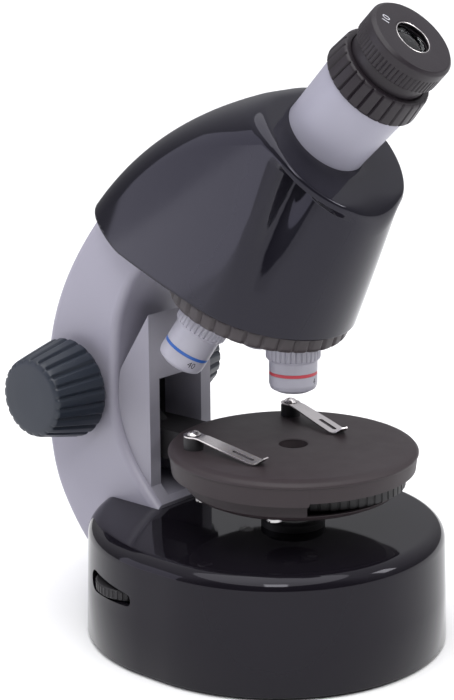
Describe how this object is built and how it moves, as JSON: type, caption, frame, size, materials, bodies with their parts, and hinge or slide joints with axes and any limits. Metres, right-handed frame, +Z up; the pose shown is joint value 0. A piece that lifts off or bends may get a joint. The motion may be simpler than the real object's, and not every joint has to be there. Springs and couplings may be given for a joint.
{
  "type": "student microscope",
  "caption": "Inclined monocular student microscope with a curved arm, drum base with a lamp, round stage with clips, rack focus, disc diaphragm and a turning nosepiece.",
  "frame": {"origin": "on the bench plane, under the middle of the whole instrument", "axes": "+Z up, +Y from the eyepiece towards the arm, +X to the right of the user"},
  "size_m": [0.1254, 0.1672, 0.2325],
  "materials": {
    "base_black": "high gloss",
    "base_under": "moulded",
    "foot_rubber": "matte",
    "screw_steel": "satin",
    "bay_plastic": "moulded",
    "cell_wrap": "satin",
    "contact": "satin",
    "board": "satin",
    "led": "clear dome",
    "lamp_frost": "frosted",
    "pot_body": "moulded",
    "knob_dark": "satin",
    "wheel_dark": "satin",
    "inlet": "moulded",
    "arm_grey": "satin paint",
    "column_grey": "satin paint",
    "rod_steel": "polished",
    "shaft_steel": "turned",
    "gear_brass": "cut",
    "carrier_black": "moulded",
    "stage_black": "matte",
    "clip_steel": "rolled",
    "nose_dark": "satin",
    "objective_grey": "satin paint",
    "head_dark": "high gloss",
    "tube_grey": "satin paint",
    "eyepiece_dark": "satin",
    "glass": "polished"
  },
  "bodies": {
    "stand": {"base_shell": "base_black", "base_plate": "base_under", "base_feet": "foot_rubber", "base_screws": "screw_steel", "battery_cover": "base_under", "battery_cover_screw": "screw_steel", "battery_tray": "bay_plastic", "batteries": "cell_wrap", "battery_contacts": "contact", "lamp_board": "board", "lamp_led": "led", "lamp_collar": "wheel_dark", "lamp_lens": "lamp_frost", "dimmer": "pot_body", "dimmer_bracket": "bay_plastic", "power_inlet": "inlet", "arm": "arm_grey", "arm_screws": "screw_steel", "column": "column_grey", "guide_rods": "rod_steel", "focus_bushes": "gear_brass", "turret_seat": "carrier_black", "turret_pivot": "screw_steel", "turret_detent": "clip_steel", "seat_screws": "screw_steel", "head_casing": "head_dark", "prism": "glass", "prism_holder": "bay_plastic", "eyepiece_tube": "tube_grey"},
    "stage": {"stage_carrier": "carrier_black", "stage_rack": "gear_brass", "stage_plate": "stage_black", "stage_dish": "stage_black", "stage_screws": "screw_steel", "dish_screws": "screw_steel", "diaphragm_pivot": "screw_steel", "clip_posts": "carrier_black", "clip_screws": "clip_steel"},
    "focus": {"focus_shaft": "shaft_steel", "focus_pinion": "gear_brass", "focus_knob_left": "knob_dark", "focus_knob_right": "knob_dark"},
    "turret_body": {"turret": "nose_dark", "objective_4x": "objective_grey", "objective_10x": "objective_grey", "objective_40x": "objective_grey", "objective_lenses": "glass"},
    "diaphragm": {"diaphragm_wheel": "wheel_dark"},
    "dimmer_knob": {"dimmer_wheel": "wheel_dark"},
    "left_clip": {"clip_left": "clip_steel"},
    "right_clip": {"clip_right": "clip_steel"},
    "eyepiece": {"eyepiece_body": "eyepiece_dark", "grip_ring": "eyepiece_dark", "eyecup": "eyepiece_dark", "eye_lens": "glass", "field_lens": "glass"}
  },
  "joints": [
    {"name": "stage_slide", "type": "slide", "parent": "stand", "child": "stage", "axis": [0, 0, 1], "range_m": [-0.006, 0.012]},
    {"name": "focus_turn", "type": "hinge", "parent": "stand", "child": "focus", "pos_m": [0, 0.06461, 0.0854], "axis": [1, 0, 0], "range_deg": [-150, 80]},
    {"name": "turret_turn", "type": "hinge", "parent": "stand", "child": "turret_body", "pos_m": [0, -0.02299, 0.1696], "axis": [0, 0.3173, -0.9483], "continuous": true},
    {"name": "diaphragm_turn", "type": "hinge", "parent": "stage", "child": "diaphragm", "pos_m": [0.005, -0.02799, 0.0599], "axis": [0, 0, 1], "continuous": true},
    {"name": "dimmer_turn", "type": "hinge", "parent": "stand", "child": "dimmer_knob", "pos_m": [-0.0448, 0.01201, 0.0245], "axis": [0, 0, 1], "range_deg": [-135, 135]},
    {"name": "clip_left_swing", "type": "hinge", "parent": "stage", "child": "left_clip", "pos_m": [-0.0274, 0.00041, 0.079], "axis": [0, 0, 1], "range_deg": [-25, 45]},
    {"name": "clip_right_swing", "type": "hinge", "parent": "stage", "child": "right_clip", "pos_m": [0.0274, 0.00041, 0.079], "axis": [0, 0, 1], "range_deg": [-30, 40]},
    {"name": "eyepiece_turn", "type": "hinge", "parent": "stand", "child": "eyepiece", "pos_m": [0, -0.03959, 0.1885], "axis": [0, -0.7071, 0.7071], "continuous": true}
  ],
  "couplings": [
    {"joint": "focus_turn", "follows": "stage_slide", "rad_per_m": -208.33}
  ]
}
